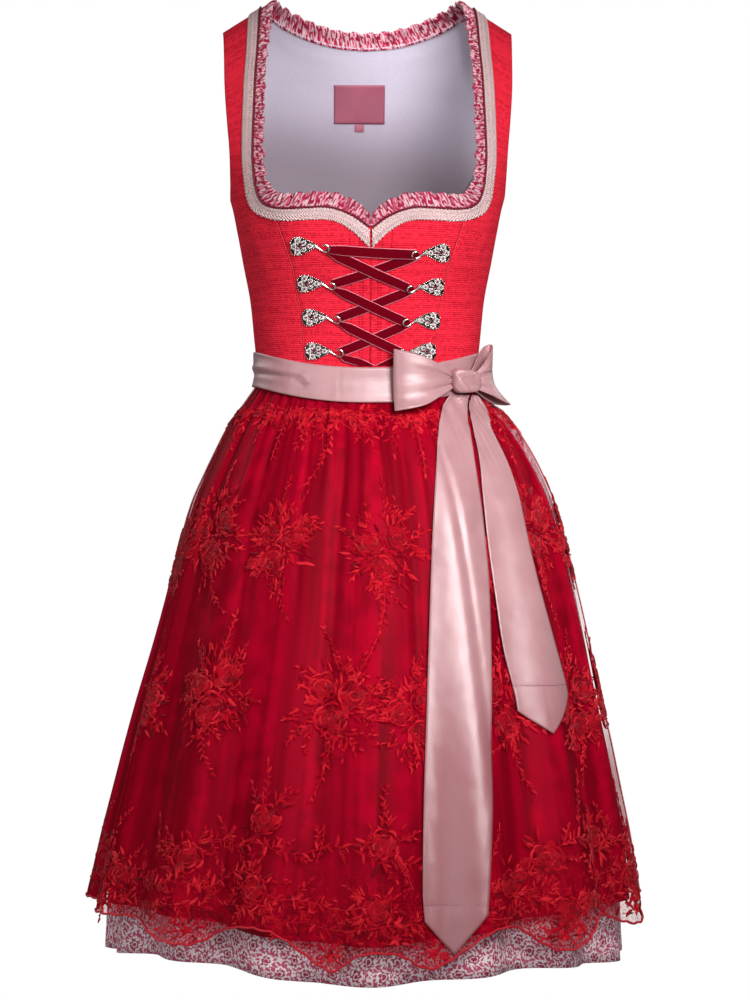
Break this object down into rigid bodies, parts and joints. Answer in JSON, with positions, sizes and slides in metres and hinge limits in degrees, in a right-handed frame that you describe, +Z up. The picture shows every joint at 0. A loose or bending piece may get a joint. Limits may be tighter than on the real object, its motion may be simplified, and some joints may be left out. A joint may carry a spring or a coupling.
{
  "type": "dirndl",
  "caption": "Hollow dirndl in its worn shape: laced red bodice with ruffled neckline, gathered printed skirt, embroidered net apron and satin sash with bow.",
  "frame": {"origin": "midway between the two shoulder seams, at the underside of the straps, where the wearer's shoulders carry the dress", "axes": "+Z up, -Y towards the front of the dress, +X towards the wearer's left"},
  "size_m": [0.5752, 0.4831, 0.9847],
  "materials": {
    "bodice_linen": "slubby woven linen mix, matt",
    "lining_cotton": "plain cotton lining, matt",
    "label_satin": "plain satin label without text",
    "braid_cream": "crocheted cotton braid, matt",
    "piping_red": "corded piping",
    "ruffle_print": "printed cotton ruffle, matt",
    "hook_silver": "old silver with clear and dark red stones",
    "lace_velvet": "velvet ribbon with light edges",
    "sash_satin": "satin, soft gloss",
    "skirt_cotton": "printed cotton, matt",
    "apron_satin": "satin lining, soft gloss",
    "apron_net": "embroidered net"
  },
  "bodies": {
    "root": {"front_centre_right": "bodice_linen", "front_centre_left": "bodice_linen", "front_side_right": "bodice_linen", "front_side_left": "bodice_linen", "back_side_right": "bodice_linen", "back_side_left": "bodice_linen", "back_centre": "bodice_linen", "placket": "bodice_linen", "lining_centre": "lining_cotton", "lining_side_right": "lining_cotton", "lining_side_left": "lining_cotton", "label_tab": "lining_cotton", "label": "label_satin", "braid_right": "braid_cream", "braid_left": "braid_cream", "piping_right": "piping_red", "piping_left": "piping_red", "piping_back": "piping_red", "ruffle_right": "ruffle_print", "ruffle_left": "ruffle_print", "ruffle_back": "ruffle_print", "hook_1_right": "hook_silver", "hook_1_left": "hook_silver", "hook_2_right": "hook_silver", "hook_2_left": "hook_silver", "hook_3_right": "hook_silver", "hook_3_left": "hook_silver", "hook_4_right": "hook_silver", "hook_4_left": "hook_silver", "lace_bar": "lace_velvet", "lace_front_1": "lace_velvet", "lace_front_2": "lace_velvet", "lace_front_3": "lace_velvet", "lace_front_4": "lace_velvet", "lace_rear_1": "lace_velvet", "lace_rear_2": "lace_velvet", "lace_rear_3": "lace_velvet", "lace_rear_4": "lace_velvet", "apron_band": "sash_satin", "apron_tie_back": "sash_satin", "bow_knot": "sash_satin", "bow_loop_right": "sash_satin", "bow_loop_left": "sash_satin", "tail_long": "sash_satin", "tail_short": "sash_satin", "skirt_front": "skirt_cotton", "skirt_back": "skirt_cotton", "skirt_side_right": "skirt_cotton", "skirt_side_left": "skirt_cotton", "apron_lining": "apron_satin", "apron_net": "apron_net"}
  },
  "joints": []
}
